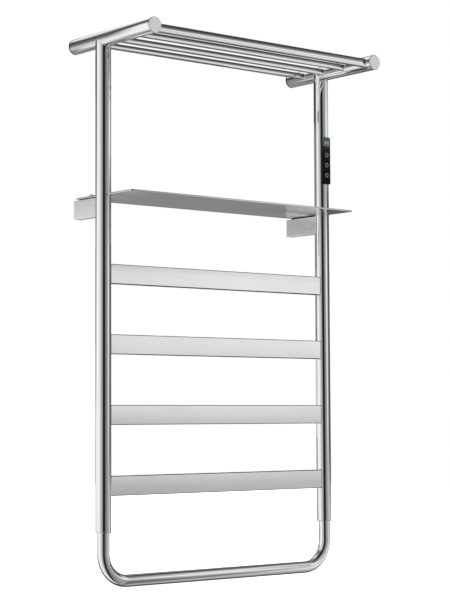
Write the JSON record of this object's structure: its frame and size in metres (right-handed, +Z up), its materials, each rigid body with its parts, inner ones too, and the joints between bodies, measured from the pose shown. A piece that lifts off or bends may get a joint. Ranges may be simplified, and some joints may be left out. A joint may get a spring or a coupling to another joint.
{
  "type": "towel warmer rack",
  "caption": "Wall-hung heated towel rack: two tube uprights with flat rungs, a U-shaped lower rail, a flat shelf, a top rack of rods and a keyed control unit.",
  "frame": {"origin": "on the wall plane, half way between the uprights, level with the middle of the two wall brackets", "axes": "+Z up, +Y into the wall, +X to the right seen from the front"},
  "size_m": [0.55, 0.24, 0.98],
  "materials": {
    "polished_steel": "mirror-polished stainless steel",
    "satin_steel": "fine satin-polished stainless steel",
    "shelf_steel": "bright-polished stainless steel sheet",
    "zinc_plated": "zinc-plated steel",
    "black_rubber": "matt black rubber",
    "black_gloss": "high-gloss black acrylic",
    "key_gloss": "high-gloss black plastic with a pale ring",
    "smoked_lens": "smoked clear acrylic",
    "black_plastic": "moulded black plastic",
    "board_green": "green solder-masked laminate",
    "relay_blue": "moulded blue plastic",
    "pale_silicone": "pale silicone"
  },
  "bodies": {
    "rack": {"left_upright": "polished_steel", "right_upright": "polished_steel", "left_side_bar": "polished_steel", "right_side_bar": "polished_steel", "left_front_cap": "polished_steel", "right_front_cap": "polished_steel", "towel_rod_1": "polished_steel", "towel_rod_2": "polished_steel", "towel_rod_3": "polished_steel", "towel_rod_4": "polished_steel", "lower_rail": "polished_steel", "left_rail_collar": "polished_steel", "right_rail_collar": "polished_steel", "left_shelf_screw": "polished_steel", "right_shelf_screw": "polished_steel", "rung_1": "satin_steel", "rung_2": "satin_steel", "rung_3": "satin_steel", "rung_4": "satin_steel", "left_bracket": "satin_steel", "right_bracket": "satin_steel", "shelf_plate": "shelf_steel", "left_wall_plate": "zinc_plated", "right_wall_plate": "zinc_plated", "left_bracket_grub_screw": "zinc_plated", "right_bracket_grub_screw": "zinc_plated", "left_rail_lock_screw": "zinc_plated", "right_rail_lock_screw": "zinc_plated", "left_shelf_nut": "zinc_plated", "right_shelf_nut": "zinc_plated", "thermal_cutout": "zinc_plated", "left_wall_cap": "black_rubber", "right_wall_cap": "black_rubber", "left_shelf_pad": "black_rubber", "right_shelf_pad": "black_rubber", "control_gasket": "black_rubber", "cable_gland": "black_rubber", "supply_lead": "black_rubber", "control_fascia": "black_gloss", "display_window": "smoked_lens", "control_housing": "black_plastic", "display_module": "black_plastic", "splice_sleeve": "black_plastic", "power_key_switch": "black_plastic", "timer_key_switch": "black_plastic", "temperature_key_switch": "black_plastic", "control_board": "board_green", "power_relay": "relay_blue", "heating_cable": "pale_silicone", "return_lead": "pale_silicone", "temperature_sensor": "pale_silicone"},
    "power_key_cap": {"power_key": "key_gloss"},
    "timer_key_cap": {"timer_key": "key_gloss"},
    "temperature_key_cap": {"temperature_key": "key_gloss"}
  },
  "joints": [
    {"name": "power_key_press", "type": "slide", "parent": "rack", "child": "power_key_cap", "axis": [0, 1, 0], "range_m": [0, 0.0006], "stiffness_N_per_m": 500, "springref_m": -0.0004},
    {"name": "timer_key_press", "type": "slide", "parent": "rack", "child": "timer_key_cap", "axis": [0, 1, 0], "range_m": [0, 0.0006], "stiffness_N_per_m": 500, "springref_m": -0.0004},
    {"name": "temperature_key_press", "type": "slide", "parent": "rack", "child": "temperature_key_cap", "axis": [0, 1, 0], "range_m": [0, 0.0006], "stiffness_N_per_m": 500, "springref_m": -0.0004}
  ]
}
